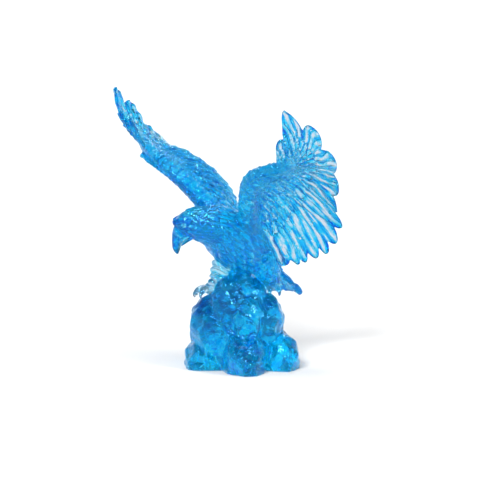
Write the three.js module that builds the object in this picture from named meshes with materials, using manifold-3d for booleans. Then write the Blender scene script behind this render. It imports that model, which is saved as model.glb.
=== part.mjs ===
// A cast figurine in clear blue glass: an eagle lands on a cluster of boulders with its wings raised in a V.
// It is one solid. Millimetres, +Z up. The eagle faces -Y, its left wing is on +X, and its head is turned
// to its right. The origin is the middle of the rock's flat underside.
import * as THREE from "three";
import { mergeVertices } from "three/addons/utils/BufferGeometryUtils.js";
import Module from "manifold-3d";

const wasm = await Module();
wasm.setup();

// Driving dimensions. The eagle's pose and carving are shares of eagleHeight, and the boulders' of the
// rock's sizes.
const rockWidth = 82;
const rockHeight = 55;
const eagleHeight = 145;
const featherThickness = 2.6;
const coverThickness = 4.4;
const toeDiameter = 4.6;
const talonDiameter = 2.8;
const eyeDiameter = 3.6;

// The sizes that the tables below were drawn at.
const drawnRockWidth = 82;
const drawnRockHeight = 55;
const drawnEagleHeight = 145;
const eagleScale = eagleHeight / drawnEagleHeight;

// A place on the eagle, from how far it is forward, to its left, and above the top of the rock.
function perch(forward, left, up) {
  return new THREE.Vector3(left * eagleScale, -forward * eagleScale, rockHeight + up * eagleScale);
}

// A direction given in the same way.
function heading(forward, left, up) {
  return new THREE.Vector3(left, -forward, up).normalize();
}

// A closed form round a spine: a sphere whose rows of vertices are moved to rings along it. Each station has
// its place and the ring's half width and half thickness. facing is the way that its thickness points, and a
// squareness under 1 fills out the ring's corners.
function swell(stations, { sides, steps, facing, squareness = 1 }) {
  const spine = new THREE.CatmullRomCurve3(stations.map((station) => station.at));
  const girth = new THREE.CatmullRomCurve3(
    stations.map((station) => new THREE.Vector3(station.wide, station.thick, 0)),
  );
  const form = new THREE.SphereGeometry(1, sides, steps);
  const positions = form.attributes.position;
  const rows = steps - 2;
  const fill = (value) => Math.sign(value) * Math.abs(value) ** squareness;
  for (let i = 0; i < positions.count; i++) {
    const row = Math.floor(i / (sides + 1));
    const onPole = row === 0 || row === steps;
    const t = THREE.MathUtils.clamp((row - 1) / rows, 0, 1);
    const along = spine.getTangent(t);
    const across = new THREE.Vector3().crossVectors(facing, along).normalize();
    const over = new THREE.Vector3().crossVectors(along, across);
    const half = girth.getPoint(t);
    const angle = (2 * Math.PI * (i % (sides + 1))) / sides;
    const point = spine.getPoint(t);
    if (!onPole) {
      point.addScaledVector(across, fill(Math.cos(angle)) * half.x);
      point.addScaledVector(over, -fill(Math.sin(angle)) * half.y);
    }
    positions.setXYZ(i, point.x, point.y, point.z);
  }
  return form;
}

// The same form, from rows of [forward, left, up, half width, half thickness] on the eagle.
function limb(rows, options) {
  const stations = rows.map(([forward, left, up, wide, thick]) => ({
    at: perch(forward, left, up),
    wide: wide * eagleScale,
    thick: thick * eagleScale,
  }));
  return swell(stations, options);
}

// A feather's outline: share of its length, share of its half width, share of its half thickness.
const vaneOutline = [
  [0, 0.45, 1.2],
  [0.3, 0.8, 1.1],
  [0.62, 1, 1],
  [0.85, 0.95, 1],
  [0.96, 0.68, 0.85],
  [1, 0.25, 0.6],
];

// A feather's line from its root to its tip. bow is how far its middle rises towards facing, as a share of
// its length, and sweep moves its middle to the side.
function shaftLine(root, tip, facing, bow, sweep = 0) {
  const rise = bow * root.distanceTo(tip);
  const side = new THREE.Vector3().crossVectors(facing, tip.clone().sub(root)).normalize();
  const middle = root.clone().lerp(tip, 0.5);
  middle.addScaledVector(facing, 2 * rise);
  middle.addScaledVector(side, 2 * sweep);
  return new THREE.QuadraticBezierCurve3(root, middle, tip);
}

// One feather along such a line.
function feather(shaft, facing, { wide, thick, steps = 7 }) {
  const stations = vaneOutline.map(([share, width, thickness]) => ({
    at: shaft.getPoint(share),
    wide: wide * width,
    thick: thick * thickness,
  }));
  return swell(stations, { sides: 6, steps, facing, squareness: 0.7 });
}

// The other side's copy of a form: mirrored left to right, with its faces turned back out.
function mirrored(form) {
  const copy = form.clone().applyMatrix4(new THREE.Matrix4().makeScale(-1, 1, 1));
  const index = copy.index.array;
  for (let i = 0; i < index.length; i += 3) {
    [index[i + 1], index[i + 2]] = [index[i + 2], index[i + 1]];
  }
  return copy;
}

// A form as a solid that can be joined and cut.
function solidOf(form) {
  const bare = form.clone();
  bare.deleteAttribute("normal");
  bare.deleteAttribute("uv");
  const merged = mergeVertices(bare, 1e-4);
  return new wasm.Manifold(
    new wasm.Mesh({
      numProp: 3,
      vertProperties: merged.attributes.position.array,
      triVerts: new Uint32Array(merged.index.array),
    }),
  );
}

// The wing. The bones run from the shoulder to the end of the hand, and the flight feathers fan back from
// them, the first one at the wing's tip.
const wingBones = [
  [7, 11, 48],
  [13, 20, 60.6],
  [23.5, 31, 77.5],
  [30.5, 44, 90],
  [29.4, 57.5, 96],
  [26, 68, 99.5],
  [27, 73, 105],
];
const boneGirths = [
  [10.5, 9],
  [7.6, 6.4],
  [7.2, 5.6],
  [8.2, 5.4],
  [7.4, 4.6],
  [6.6, 4],
  [4, 2.6],
];
const flightTips = [
  [43.4, 85.6, 144.9],
  [19.8, 92.9, 130.1],
  [-3.7, 90.3, 105],
  [-28, 70, 79],
  [-35, 61, 63.5],
  [-44.7, 56.9, 50],
  [-45.8, 50.2, 36.9],
  [-43.4, 43.4, 28.6],
  [-39, 37, 25],
  [-34.2, 30.1, 21.4],
  [-31.5, 26.4, 20],
  [-24.7, 19.7, 19.3],
  [-16.2, 16.2, 18.2],
];
const lastFeather = flightTips.length - 1;
const innermostBone = 0.16;
const leadingWidth = 8;
const trailingWidth = 4;
const wingUpperSide = heading(-0.3, -0.7, 0.6);
const tipBow = -0.12;
const innerBow = 0.19;
const rootBow = 0.1;
const tipSweep = 5;
const sweptFeathers = 3;

// How far the notch between two feathers cuts back from their tips, as a share of their length, from the
// wing's leading edge inwards.
const tipNotches = [0.35, 0.19, 0.18, 0.1, 0.06];

// The sheet's rows, from the bones out to the feathers' tips. Each has its share of the feathers' length, its
// thickness, and how deep the covering feathers' edge is notched there. The last rows belong to the bare
// feathers, and share out what is left of their length.
const coverReach = 0.62;
const sheetRows = [
  { share: 0, thickness: 1.5 * coverThickness },
  { share: 0.36, thickness: 1.5 * coverThickness, notch: 0.07, shift: 0.5 },
  { share: 0.38, thickness: coverThickness, notch: 0.07, shift: 0.5 },
  { share: coverReach - 0.03, thickness: coverThickness, notch: 0.07 },
  { share: coverReach, thickness: featherThickness, notch: 0.07 },
  { bare: 0.5, thickness: featherThickness },
  { bare: 0.85, thickness: featherThickness },
  { bare: 1, thickness: 0.5 * featherThickness },
];
const columnsPerFeather = 4;
const grooveDepth = 0.5;

// The thumb's small feather, in front of the hand.
const alulaRoot = [28, 69, 97];
const alulaTip = [38.2, 76.8, 122.4];
const alulaHalfWidth = 4;
const alulaBow = 0.02;

function wing() {
  const bones = new THREE.CatmullRomCurve3(wingBones.map((row) => perch(...row)));
  const tips = new THREE.CatmullRomCurve3(flightTips.map((row) => perch(...row)));
  const rootAt = (i) => bones.getPoint(THREE.MathUtils.lerp(1, innermostBone, i / lastFeather));
  const tipAt = (i) => tips.getPoint(i / lastFeather);
  const middleAt = (i) => rootAt(i).lerp(tipAt(i), 0.6);
  const facingAt = (i) => {
    const near = THREE.MathUtils.clamp(i, 0.5, lastFeather - 0.5);
    const spread = middleAt(near + 0.5).sub(middleAt(near - 0.5));
    const facing = new THREE.Vector3().crossVectors(tipAt(i).sub(rootAt(i)), spread).normalize();
    return facing.dot(wingUpperSide) < 0 ? facing.negate() : facing;
  };
  const bowAt = (i) => {
    const outer = THREE.MathUtils.lerp(tipBow, innerBow, THREE.MathUtils.smoothstep(i, 0, 4));
    return THREE.MathUtils.lerp(outer, rootBow, THREE.MathUtils.smoothstep(i, 7, lastFeather));
  };

  // A place on the fan, i feathers in from the tip. The outer halves of the first and last feathers lie
  // beyond their shafts.
  const onFan = (i, share) => {
    const near = THREE.MathUtils.clamp(i, 0, lastFeather);
    const facing = facingAt(near);
    const sweep = tipSweep * eagleScale * (1 - THREE.MathUtils.smoothstep(near, 0, sweptFeathers));
    const shaft = shaftLine(rootAt(near), tipAt(near), facing, bowAt(near), sweep);
    const across = new THREE.Vector3().crossVectors(facing, shaft.getTangent(share)).normalize();
    const taper = Math.sin(Math.PI * THREE.MathUtils.clamp(share, 0.15, 0.5));
    const width = taper * (i < 0 ? leadingWidth : trailingWidth) * eagleScale;
    const at = shaft.getPoint(share).addScaledVector(across, 2 * (i - near) * width);
    return { at, facing };
  };

  const offCentre = (i, shift = 0) => Math.abs(2 * (i - shift - Math.round(i - shift)));
  const tipReach = (i) => {
    const notch = tipNotches[Math.min(Math.floor(i + 1), tipNotches.length - 1)];
    return 1 - notch * offCentre(i) ** 2.4;
  };
  const shareAt = ({ share, bare, notch = 0, shift }, i) => {
    if (bare) return THREE.MathUtils.lerp(coverReach, tipReach(i), bare);
    return share * (1 - notch * offCentre(i, shift) ** 2);
  };

  const columns = columnsPerFeather * flightTips.length;
  const sheet = new THREE.BoxGeometry(1, 1, 1, columns, sheetRows.length - 1, 1);
  const positions = sheet.attributes.position;
  for (let n = 0; n < positions.count; n++) {
    const i = (positions.getX(n) + 0.5) * flightTips.length - 0.5;
    const row = sheetRows[Math.round((0.5 - positions.getY(n)) * (sheetRows.length - 1))];
    const { at, facing } = onFan(i, shareAt(row, i));
    const thickness = row.thickness * (1 - grooveDepth * offCentre(i, row.shift) ** 2);
    at.addScaledVector(facing, positions.getZ(n) * thickness);
    positions.setXYZ(n, at.x, at.y, at.z);
  }

  const bonesForm = wingBones.map((row, i) => [...row, ...boneGirths[i]]);
  const alula = shaftLine(perch(...alulaRoot), perch(...alulaTip), wingUpperSide, alulaBow);
  const alulaSize = { wide: alulaHalfWidth * eagleScale, thick: featherThickness / 2 };
  return [
    sheet,
    limb(bonesForm, { sides: 8, steps: 10, facing: wingUpperSide }),
    feather(alula, wingUpperSide, alulaSize),
  ];
}

// The trunk, from the tail's root to the nape: forward, left, up, half width, half thickness.
const trunkRows = [
  [-34, 0, 12, 6, 4],
  [-28, 0, 15.5, 10.5, 7.5],
  [-18, 0, 21, 14.4, 12.2],
  [-5.7, 0, 28.3, 17.2, 15.8],
  [5.7, 0, 36.9, 19.4, 18.2],
  [14.4, 0, 44.1, 19, 17.6],
  [22, -1.5, 49, 16.4, 15.6],
  [29, -4.2, 52, 13.6, 13.4],
  [35, -7.5, 53, 11.4, 12],
];

function trunk() {
  return limb(trunkRows, { sides: 14, steps: 12, facing: heading(0, 0, 1) });
}

// The head has its own frame: ahead, to its left, and up, from the middle of the skull.
const headMiddle = [37.1, -8.6, 53.6];
const headTurn = THREE.MathUtils.degToRad(-45);

function onHead(ahead, left, up) {
  const forward = ahead * Math.cos(headTurn) - left * Math.sin(headTurn);
  const sideways = ahead * Math.sin(headTurn) + left * Math.cos(headTurn);
  return [headMiddle[0] + forward, headMiddle[1] + sideways, headMiddle[2] + up];
}

const skullRows = [
  [-14, 0, -0.8, 12, 12.6],
  [-6, 0, 0.2, 11.4, 12],
  [2, 0, 0, 10.4, 11],
  [9, 0, -1.2, 8.2, 9.2],
  [14, 0, -2.2, 4.6, 5.6],
];
const beakRows = [
  [8, 0, -3, 5.6, 8.6],
  [11.6, 0, -8, 4.8, 6.4],
  [13.8, 0, -13.6, 3.6, 4.2],
  [14.6, 0, -18.4, 2.3, 2.6],
  [13.6, 0, -22.2, 0.7, 0.8],
];
const jawRows = [
  [4, 0, -7.6, 5, 4.4],
  [8.4, 0, -11.8, 3.8, 3],
  [11.2, 0, -15.6, 1.8, 1.4],
];
const browRows = [
  [16.6, 5.4, 0.8, 2.2, 2],
  [9.6, 7.4, 3.4, 2.6, 2.6],
  [1, 8.6, 3.6, 1.8, 2],
];
const eyePlace = [8.6, 7.6, -0.4];

function head() {
  const ahead = heading(Math.cos(headTurn), Math.sin(headTurn), 0);
  const upright = heading(0, 0, 1);
  const place = (rows, side = 1) =>
    rows.map(([out, left, up, wide, thick]) => [...onHead(out, side * left, up), wide, thick]);
  const forms = [
    limb(place(skullRows), { sides: 12, steps: 8, facing: upright }),
    limb(place(beakRows), { sides: 8, steps: 9, facing: ahead }),
    limb(place(jawRows), { sides: 6, steps: 5, facing: ahead }),
  ];
  for (const side of [1, -1]) {
    forms.push(limb(place(browRows, side), { sides: 6, steps: 5, facing: upright }));
    const eye = new THREE.SphereGeometry(eyeDiameter / 2, 8, 6);
    const middle = perch(...onHead(eyePlace[0], side * eyePlace[1], eyePlace[2]));
    forms.push(eye.translate(middle.x, middle.y, middle.z));
  }
  return forms;
}

// The tail: a shallow fan of feathers.
const tailFeathers = 5;
const tailRoot = [-24, 0, 18];
const tailTip = [-52, 0, -4.2];
const tailSpread = 5.4;
const tailRootSpread = 2.4;
const tailHalfWidth = 4.8;
const tailThickness = 1.2 * featherThickness;
const tailBow = 0.03;

// How much shorter and lower each tail feather is than the middle one, by the square of its place beside it.
const tailShortening = 0.7;
const tailDroop = 0.25;

function tail() {
  const forms = [];
  const half = (tailFeathers - 1) / 2;
  for (let k = -half; k <= half; k++) {
    const root = perch(tailRoot[0], k * tailRootSpread, tailRoot[2]);
    const tip = perch(tailTip[0] + tailShortening * k * k, k * tailSpread, tailTip[2] - tailDroop * k * k);
    const facing = heading(-0.5, 0.06 * k, 0.8);
    const size = { wide: tailHalfWidth * eagleScale, thick: tailThickness / 2, steps: 6 };
    forms.push(feather(shaftLine(root, tip, facing, tailBow), facing, size));
  }
  return forms;
}

// The legs: feathered thigh, bare shank and the foot's place, then the way that the foot points.
const legs = [
  {
    thigh: [
      [1, -9, 27, 10, 10],
      [8.5, -10.4, 17.5, 9, 9.2],
      [14.5, -10.8, 9.6, 6, 6.2],
    ],
    shank: [
      [12.5, -10.8, 12, 4.2, 4.2],
      [20, -10.4, 6.4, 3.8, 4],
      [24, -9, 2.6, 3.6, 3.6],
    ],
    footHeading: -30,
  },
  {
    thigh: [
      [-8.6, 9.5, 24, 9.6, 9.6],
      [-14.4, 11.5, 14.6, 8.2, 8.2],
      [-18.2, 11.8, 8, 5.2, 5.2],
    ],
    shank: [
      [-17.6, 11.6, 9.5, 3.6, 3.6],
      [-19.4, 11, 4.8, 3, 3],
      [-20.4, 10.6, 1.6, 3.2, 3.2],
    ],
    footHeading: 35,
  },
];
const toeSpreads = [-42, -2, 38, 176];
const toeLengths = [7.6, 8.2, 7.8, 6.4];

// A toe with its talon: shares of its length out from the foot and up, and the radius there.
const toeProfile = [
  [0, 0.06, 0.56 * toeDiameter],
  [0.45, 0.34, 0.5 * toeDiameter],
  [0.95, 0.22, 0.52 * toeDiameter],
  [1.24, 0.02, 0.56 * talonDiameter],
  [1.42, -0.26, 0.4 * talonDiameter],
  [1.4, -0.6, 0.12 * talonDiameter],
];

function leg({ thigh, shank, footHeading }) {
  const forwards = heading(1, 0, 0.2);
  const forms = [
    limb(thigh, { sides: 8, steps: 5, facing: forwards }),
    limb(shank, { sides: 6, steps: 5, facing: forwards }),
  ];
  const [forward, left, up] = shank[shank.length - 1];
  toeSpreads.forEach((spread, i) => {
    const angle = THREE.MathUtils.degToRad(footHeading + spread);
    const length = toeLengths[i];
    const stations = toeProfile.map(([out, rise, radius]) => ({
      at: perch(
        forward + Math.cos(angle) * out * length,
        left + Math.sin(angle) * out * length,
        up + rise * length,
      ),
      wide: radius,
      thick: radius,
    }));
    forms.push(swell(stations, { sides: 5, steps: 6, facing: heading(0, 0.05, 1) }));
  });
  return forms;
}

// Short pointed feathers that lie along the trunk and thighs in staggered rings.
const ringShares = [0.28, 0.43, 0.58, 0.73, 0.87];
const tuftsPerRing = 8;
const tuftHalfSize = new THREE.Vector3(6.5, 3.4, 1.5);
const tuftLift = 0.16;

function tufts() {
  const stations = trunkRows.map(([forward, left, up]) => perch(forward, left, up));
  const spine = new THREE.CatmullRomCurve3(stations);
  const girths = trunkRows.map(([, , , wide, thick]) => new THREE.Vector3(wide, thick, 0));
  const girth = new THREE.CatmullRomCurve3(girths);
  const forms = [];
  ringShares.forEach((share, ring) => {
    const along = spine.getTangent(share);
    const across = new THREE.Vector3().crossVectors(heading(0, 0, 1), along).normalize();
    const over = new THREE.Vector3().crossVectors(along, across);
    const half = girth.getPoint(share).multiplyScalar(eagleScale);
    for (let k = 0; k < tuftsPerRing; k++) {
      const angle = (2 * Math.PI * (k + 0.5 * (ring % 2))) / tuftsPerRing;
      const out = across.clone().multiplyScalar(Math.cos(angle)).addScaledVector(over, Math.sin(angle));
      const at = spine.getPoint(share);
      at.addScaledVector(across, Math.cos(angle) * half.x);
      at.addScaledVector(over, Math.sin(angle) * half.y);
      const back = along.clone().multiplyScalar(-1).addScaledVector(out, tuftLift).normalize();
      const side = new THREE.Vector3().crossVectors(out, back).normalize();
      const lift = new THREE.Vector3().crossVectors(back, side);
      const turn = new THREE.Matrix4().makeBasis(back, side, lift).setPosition(at);
      const tuft = new THREE.OctahedronGeometry(eagleScale);
      tuft.scale(tuftHalfSize.x, tuftHalfSize.y, tuftHalfSize.z);
      forms.push(tuft.applyMatrix4(turn));
    }
  });
  return forms;
}

// The boulders: forward, left and up of the middle, half width, half depth and half height, turn in degrees.
const boulders = [
  [15.6, -19.8, 8.2, 16.2, 18, 15.6, 45],
  [9.1, 13.2, 9.6, 16.4, 21.8, 19.8, 38],
  [-19.3, 19.3, 9.4, 13.8, 19.4, 18.4, 52],
  [12.6, -12.4, 32.6, 20.2, 19, 21.8, 45],
  [4, 10, 38, 13, 15, 17, 20],
  [-9.8, 10.2, 35, 15.4, 18, 20, 60],
  [-4.1, -26.4, 14.9, 18.7, 17.2, 21.5, 10],
  [-27.4, -5.1, 13.5, 18, 16.5, 18.7, 75],
  [-3, -3, 22, 25, 25, 30, 45],
  [-2, 1, 46, 19, 15, 21, 30],
  [13, -1, 46, 13, 12, 25, 10],
  [5, 2, 50, 11, 11, 25, 45],
];
const facetsPerBoulder = 20;
const lowestFacetClimb = -0.5;
const topFacetClimb = 0.96;
const facetDepth = 0.07;
const goldenAngle = Math.PI * (3 - Math.sqrt(5));

// A boulder is a block whose corners are struck off by flat facets round an egg shape of the same half sizes.
function boulder([forward, left, up, halfWidth, halfDepth, halfHeight, turn], seed) {
  const plan = rockWidth / drawnRockWidth;
  const rise = rockHeight / drawnRockHeight;
  const middle = new THREE.Vector3(left * plan, -forward * plan, up * rise);
  const half = new THREE.Vector3(halfWidth * plan, halfDepth * plan, halfHeight * rise);
  const yaw = new THREE.Matrix4().makeRotationZ(THREE.MathUtils.degToRad(turn));
  const block = new THREE.BoxGeometry(2 * half.x, 2 * half.y, 2 * half.z);
  block.applyMatrix4(yaw).translate(middle.x, middle.y, middle.z);
  let solid = solidOf(block);
  for (let k = 0; k < facetsPerBoulder; k++) {
    const climb = THREE.MathUtils.lerp(lowestFacetClimb, topFacetClimb, (k + 0.5) / facetsPerBoulder);
    const round = Math.sqrt(1 - climb * climb);
    const angle = 1.7 * seed + k * goldenAngle;
    const normal = new THREE.Vector3(round * Math.cos(angle), round * Math.sin(angle), climb);
    const cut = facetDepth * (1 - Math.sin(5 * k + seed));
    const reach = normal.clone().multiply(half).length() * (1 - cut);
    normal.applyMatrix4(yaw);
    solid = solid.trimByPlane([-normal.x, -normal.y, -normal.z], -(reach + normal.dot(middle)));
  }
  return solid.trimByPlane([0, 0, 1], 0);
}

const leftWing = wing();
const birdForms = [
  trunk(),
  ...head(),
  ...tail(),
  ...legs.flatMap(leg),
  ...tufts(),
  ...leftWing,
  ...leftWing.map(mirrored),
];
const figure = wasm.Manifold.union([...birdForms.map(solidOf), ...boulders.map(boulder)]);

function meshOf(solid, name, material) {
  const { vertProperties, triVerts } = solid.getMesh();
  const geometry = new THREE.BufferGeometry();
  geometry.setAttribute("position", new THREE.BufferAttribute(vertProperties, 3));
  geometry.setIndex(new THREE.BufferAttribute(triVerts, 1));
  geometry.computeVertexNormals();
  const mesh = new THREE.Mesh(geometry, material);
  mesh.name = name;
  return mesh;
}

const blueGlass = new THREE.MeshStandardMaterial({
  color: 0x1aa3e8,
  roughness: 0.05,
  metalness: 0,
  transparent: true,
  opacity: 0.55,
});

const root = new THREE.Group();
root.add(meshOf(figure, "eagle_figurine", blueGlass));
export default root;
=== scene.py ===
import math

import bpy
import numpy as np
from mathutils import Matrix, Vector
from mathutils.kdtree import KDTree


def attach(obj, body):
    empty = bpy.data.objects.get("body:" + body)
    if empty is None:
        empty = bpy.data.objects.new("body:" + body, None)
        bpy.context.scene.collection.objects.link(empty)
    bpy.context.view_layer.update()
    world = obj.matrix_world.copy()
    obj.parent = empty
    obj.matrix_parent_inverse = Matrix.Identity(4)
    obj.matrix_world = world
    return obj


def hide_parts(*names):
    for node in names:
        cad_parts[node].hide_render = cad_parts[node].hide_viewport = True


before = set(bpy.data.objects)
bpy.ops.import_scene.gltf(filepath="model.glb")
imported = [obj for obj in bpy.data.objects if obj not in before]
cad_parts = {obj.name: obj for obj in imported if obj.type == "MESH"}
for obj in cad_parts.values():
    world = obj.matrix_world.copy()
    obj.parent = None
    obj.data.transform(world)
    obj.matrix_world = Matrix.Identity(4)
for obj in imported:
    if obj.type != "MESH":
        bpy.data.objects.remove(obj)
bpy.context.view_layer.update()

bl_info = {
    "name": "Glass Eagle",
    "version": (1, 0, 0),
    "blender": (4, 5, 0),
    "location": "3D View > Sidebar > Eagle",
    "description": "Models a cast glass eagle that lands on a cluster of boulders",
    "category": "Add Mesh",
}

BODY = "root"
CAST_NODE = "eagle_figurine"

# The groups of the casting, in the order in which they are made.
ROCK = "rock"
TRUNK = "trunk"
HEAD = "head"
WINGS = "wings"
TAIL = "tail"
LEGS = "legs"
PLUMAGE = "plumage"
CASTING = "eagle_casting"

# The values that the glass is coloured by, and how deeply each group is tinted, from 0 to 1.
TINT = "tint"
WING = "wing"
FLOW = "flow"
TRUNK_TINT = 0.7
HEAD_TINT = 0.78
BROW_TINT = 0.95
# The eyes are nearly clear, a painted highlight.
EYE_HIGHLIGHT = 0.1
# The mouth's rows along the beak's edge are nearly clear, a painted highlight.
LIP_HIGHLIGHT = 0.05
BONE_TINT = 0.62
TAIL_TINT = 0.62
# The right leg and all the toes are nearly clear, a painted highlight.
LEG_HIGHLIGHT = 0.03


def length_value(name, description, default):
    return bpy.props.FloatProperty(name=name, description=description, default=default, unit="LENGTH")


def angle_value(name, description, degrees):
    default = math.radians(degrees)
    return bpy.props.FloatProperty(name=name, description=description, default=default, subtype="ANGLE")


def colour_value(name, description, default):
    return bpy.props.FloatVectorProperty(name=name, description=description, default=default, subtype="COLOR")


class EagleSizes(bpy.types.PropertyGroup):
    """The sizes that the casting is made to."""

    rock_width: length_value("Rock Width", "Width of the boulders together", 0.082)
    rock_height: length_value("Rock Height", "Height of the rock where the feet stand", 0.055)
    eagle_height: length_value("Eagle Height", "Height of the wing tips above the rock", 0.145)
    feather_thickness: length_value("Feather Thickness", "Thickness of the bare feathers", 0.0026)
    cover_thickness: length_value(
        "Cover Thickness", "Thickness of the wing under its covering feathers", 0.0044
    )
    toe_diameter: length_value("Toe Diameter", "Diameter of a toe", 0.0046)
    talon_diameter: length_value("Talon Diameter", "Diameter of a talon at its root", 0.0028)
    eye_diameter: length_value("Eye Diameter", "Diameter of an eye", 0.0036)
    grain: length_value("Casting Grain", "Finest form that the casting keeps", 0.00045)
    triangles: bpy.props.IntProperty(
        name="Triangles", description="Most triangles in the finished casting", default=190000
    )


class GlassFinish(bpy.types.PropertyGroup):
    """The colours and gloss of the glass."""

    clear: colour_value("Clear", "Glass with hardly any tint", (0.58, 0.59, 0.68))
    cyan: colour_value("Cyan", "Lightly tinted glass", (0.01, 0.47, 0.74))
    azure: colour_value("Azure", "Fully tinted glass", (0.0, 0.31, 0.73))
    # Deep blue is also the painted shade that creases and rims are tinted towards.
    deep_blue: colour_value("Deep Blue", "Glass in creases and along rims", (0.0, 0.085, 0.56))
    depth_colour: colour_value("Depth Colour", "Colour that thick glass turns to", (0.0, 0.975, 0.995))
    depth_density: bpy.props.FloatProperty(
        name="Depth Density", description="How soon the glass takes its depth colour", default=25.0
    )
    ior: bpy.props.FloatProperty(name="IOR", description="Index of refraction of the glass", default=1.5)
    reflection: colour_value("Reflection", "Colour of head-on reflections", (0.2, 0.62, 1.0))


class StudioSettings(bpy.types.PropertyGroup):
    """The camera."""

    azimuth: angle_value("Azimuth", "Way round the figure", 45)
    elevation: angle_value("Elevation", "Height of the view", 9)
    distance: length_value("Distance", "Distance of the camera", 6.0)
    field: length_value("Field", "Width of the view at the figure", 0.359)


# The tables give the eagle in drawn millimetres, at this height above the rock, and the boulders in a rock
# of these sizes.
DRAWN_EAGLE_HEIGHT = 145
DRAWN_ROCK_WIDTH = 82
DRAWN_ROCK_HEIGHT = 55
GOLDEN_ANGLE = math.pi * (3 - math.sqrt(5))


def sizes():
    return bpy.context.scene.eagle_sizes


def eagle_unit():
    """The length of one drawn millimetre on the eagle."""
    return sizes().eagle_height / DRAWN_EAGLE_HEIGHT


def perch(rows):
    """Places on the eagle, from how far they are forward, to its left, and above the top of the rock."""
    rows = np.asarray(rows, float)
    unit = eagle_unit()
    return np.stack(
        [rows[..., 1] * unit, -rows[..., 0] * unit, sizes().rock_height + rows[..., 2] * unit], axis=-1
    )


def unit_vectors(vectors):
    return vectors / np.maximum(np.linalg.norm(vectors, axis=-1, keepdims=True), 1e-12)


def heading(forward, left, up):
    """A direction given as places are."""
    return unit_vectors(np.array([left, -forward, up], float))


UPRIGHT = heading(0, 0, 1)


def smooth(value, low, high):
    """Rises smoothly from 0 at low to 1 at high."""
    share = np.clip((value - low) / (high - low), 0, 1)
    return share * share * (3 - 2 * share)


class Spine:
    """A smooth curve through points, as a chain of cubic spans."""

    def __init__(self, points):
        points = np.asarray(points, float)
        first = 2 * points[0] - points[1]
        last = 2 * points[-1] - points[-2]
        self.points = np.vstack([first, points, last])
        self.spans = len(points) - 1

    def at(self, share):
        place = np.clip(np.asarray(share, float), 0, 1) * self.spans
        span = np.minimum(place.astype(int), self.spans - 1)
        part = (place - span)[..., None]
        before, start, end, after = (self.points[span + k] for k in range(4))
        steps = [np.linalg.norm(b - a, axis=-1, keepdims=True) ** 0.5 for a, b in
                 ((before, start), (start, end), (end, after))]
        near, mid, far = steps
        mid = np.where(mid < 1e-4, 1, mid)
        near = np.where(near < 1e-4, mid, near)
        far = np.where(far < 1e-4, mid, far)
        leave = mid * ((start - before) / near - (end - before) / (near + mid) + (end - start) / mid)
        reach = mid * ((end - start) / mid - (after - start) / (mid + far) + (after - end) / far)
        square = -3 * start + 3 * end - 2 * leave - reach
        cube = 2 * start - 2 * end + leave + reach
        return start + part * (leave + part * (square + part * cube))

    def tangent(self, share):
        share = np.asarray(share, float)
        step = 1e-4
        ahead = self.at(np.minimum(share + step, 1))
        return unit_vectors(ahead - self.at(np.maximum(share - step, 0)))


# Objects

def deselect_all():
    bpy.ops.object.select_all(action="DESELECT")


def make_active(piece):
    deselect_all()
    piece.select_set(True)
    bpy.context.view_layer.objects.active = piece


def points_of(piece):
    flat = np.empty(len(piece.data.vertices) * 3)
    piece.data.vertices.foreach_get("co", flat)
    return flat.reshape(-1, 3)


def set_points(piece, points):
    """Moves a closed piece's vertices, and turns its faces outwards."""
    mesh = piece.data
    mesh.vertices.foreach_set("co", np.asarray(points, float).ravel())
    mesh.update()
    mesh.calc_loop_triangles()
    corners = np.empty(len(mesh.loop_triangles) * 3, int)
    mesh.loop_triangles.foreach_get("vertices", corners)
    a, b, c = np.asarray(points)[corners.reshape(-1, 3)].transpose(1, 0, 2)
    if np.einsum("ij,ij->i", a, np.cross(b, c)).sum() < 0:
        mesh.flip_normals()


def paint(piece, tint, wing=0.0, flow=(0.0, 0.0, 0.0)):
    """Stores how deeply each vertex is tinted, how far it belongs to a wing's sheet, and where on it."""
    count = len(piece.data.vertices)
    for name, kind, slot, value, width in (
        (TINT, "FLOAT", "value", tint, 1),
        (WING, "FLOAT", "value", wing, 1),
        (FLOW, "FLOAT_VECTOR", "vector", flow, 3),
    ):
        stored = piece.data.attributes.get(name) or piece.data.attributes.new(name, kind, "POINT")
        value = np.broadcast_to(np.asarray(value, np.float32).reshape(-1, width), (count, width))
        stored.data.foreach_set(slot, np.ascontiguousarray(value).ravel())


def painted(piece):
    """Reads back a piece's stored values, one row for each vertex."""
    count = len(piece.data.vertices)
    columns = []
    for name, slot, width in ((TINT, "value", 1), (WING, "value", 1), (FLOW, "vector", 3)):
        flat = np.empty(count * width, np.float32)
        piece.data.attributes[name].data.foreach_get(slot, flat)
        columns.append(flat.reshape(count, width))
    return np.hstack(columns)


def apply_modifier(piece, kind, **settings):
    make_active(piece)
    modifier = piece.modifiers.new(kind.title(), kind)
    for name, value in settings.items():
        setattr(modifier, name, value)
    bpy.ops.object.modifier_apply(modifier=modifier.name)


def join(pieces, name):
    deselect_all()
    for piece in pieces:
        piece.select_set(True)
    bpy.context.view_layer.objects.active = pieces[0]
    bpy.ops.object.join()
    pieces[0].name = name
    pieces[0].data.name = name
    return pieces[0]


def largest_piece(piece):
    """Leaves out the specks that a piece has come with."""
    make_active(piece)
    bpy.ops.object.mode_set(mode="EDIT")
    bpy.ops.mesh.select_all(action="SELECT")
    bpy.ops.mesh.dissolve_degenerate(threshold=1e-7)
    bpy.ops.mesh.select_all(action="SELECT")
    bpy.ops.mesh.separate(type="LOOSE")
    bpy.ops.object.mode_set(mode="OBJECT")
    pieces = sorted(bpy.context.selected_objects, key=lambda part: len(part.data.vertices))
    largest = pieces.pop()
    name = piece.name
    for part in pieces:
        bpy.data.objects.remove(part)
    largest.name = name
    largest.data.name = name
    return largest


def copied(piece, matrix):
    """A copy of a piece with its own mesh, moved by a matrix."""
    copy = piece.copy()
    copy.data = piece.data.copy()
    bpy.context.scene.collection.objects.link(copy)
    copy.data.transform(matrix)
    if matrix.determinant() < 0:
        copy.data.flip_normals()
    return copy


# Forms

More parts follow.
